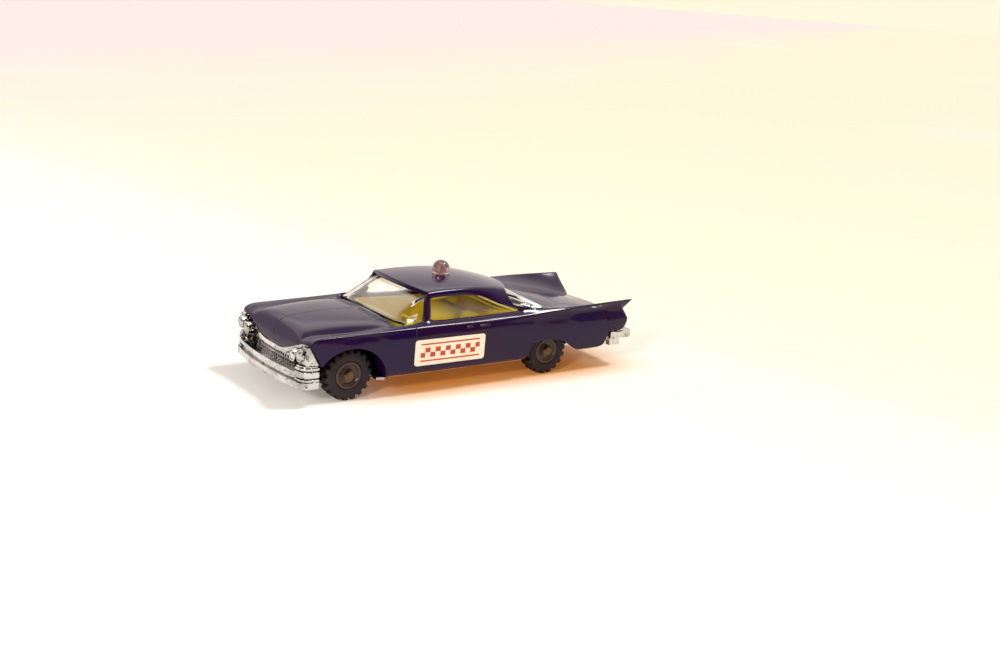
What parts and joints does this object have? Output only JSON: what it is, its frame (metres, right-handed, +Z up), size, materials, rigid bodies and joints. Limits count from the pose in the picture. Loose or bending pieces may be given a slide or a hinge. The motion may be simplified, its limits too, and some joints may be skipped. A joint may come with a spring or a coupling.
{
  "type": "toy police car",
  "caption": "Pocket die-cast toy patrol car: finned hardtop shell, clear glazing, bright base with grille and bumpers, roof lamp, and free-running wheels with rubber tyres.",
  "frame": {"origin": "on the ground under the middle of the car's length and width", "axes": "+X forward along the car, +Y to the car's left, +Z up"},
  "size_m": [0.0712, 0.0262, 0.0199],
  "materials": {
    "body_enamel": "gloss dark blue enamel with a violet cast",
    "clear_glazing": "clear moulded glazing",
    "interior_plastic": "semi-gloss yellow moulding",
    "plated_base": "bright plating, lightly worn",
    "lamp_plastic": "translucent reddish moulding",
    "axle_steel": "bright drawn wire",
    "label_film": "cream printed film, semi-matt",
    "hub_plastic": "dark brown gloss moulding",
    "tyre_rubber": "matt dark grey rubber"
  },
  "bodies": {
    "chassis": {"body_shell": "body_enamel", "window_unit": "clear_glazing", "interior": "interior_plastic", "base_plate": "plated_base", "roof_lamp": "lamp_plastic", "door_label_left": "label_film", "door_label_right": "label_film", "front_rivet": "axle_steel", "rear_rivet": "axle_steel"},
    "front_axle": {"front_axle": "axle_steel"},
    "rear_axle": {"rear_axle": "axle_steel"},
    "wheel_front_left": {"hub_front_left": "hub_plastic", "tyre_front_left": "tyre_rubber"},
    "wheel_front_right": {"hub_front_right": "hub_plastic", "tyre_front_right": "tyre_rubber"},
    "wheel_rear_left": {"hub_rear_left": "hub_plastic", "tyre_rear_left": "tyre_rubber"},
    "wheel_rear_right": {"hub_rear_right": "hub_plastic", "tyre_rear_right": "tyre_rubber"}
  },
  "joints": [
    {"name": "front_axle_spin", "type": "hinge", "parent": "chassis", "child": "front_axle", "pos_m": [0.0252, 0, 0.00435], "axis": [0, 1, 0], "continuous": true},
    {"name": "rear_axle_spin", "type": "hinge", "parent": "chassis", "child": "rear_axle", "pos_m": [-0.0158, 0, 0.00435], "axis": [0, 1, 0], "continuous": true},
    {"name": "wheel_front_left_spin", "type": "hinge", "parent": "front_axle", "child": "wheel_front_left", "pos_m": [0.0252, 0.0099, 0.00435], "axis": [0, 1, 0], "continuous": true},
    {"name": "wheel_front_right_spin", "type": "hinge", "parent": "front_axle", "child": "wheel_front_right", "pos_m": [0.0252, -0.0099, 0.00435], "axis": [0, 1, 0], "continuous": true},
    {"name": "wheel_rear_left_spin", "type": "hinge", "parent": "rear_axle", "child": "wheel_rear_left", "pos_m": [-0.0158, 0.0099, 0.00435], "axis": [0, 1, 0], "continuous": true},
    {"name": "wheel_rear_right_spin", "type": "hinge", "parent": "rear_axle", "child": "wheel_rear_right", "pos_m": [-0.0158, -0.0099, 0.00435], "axis": [0, 1, 0], "continuous": true}
  ]
}
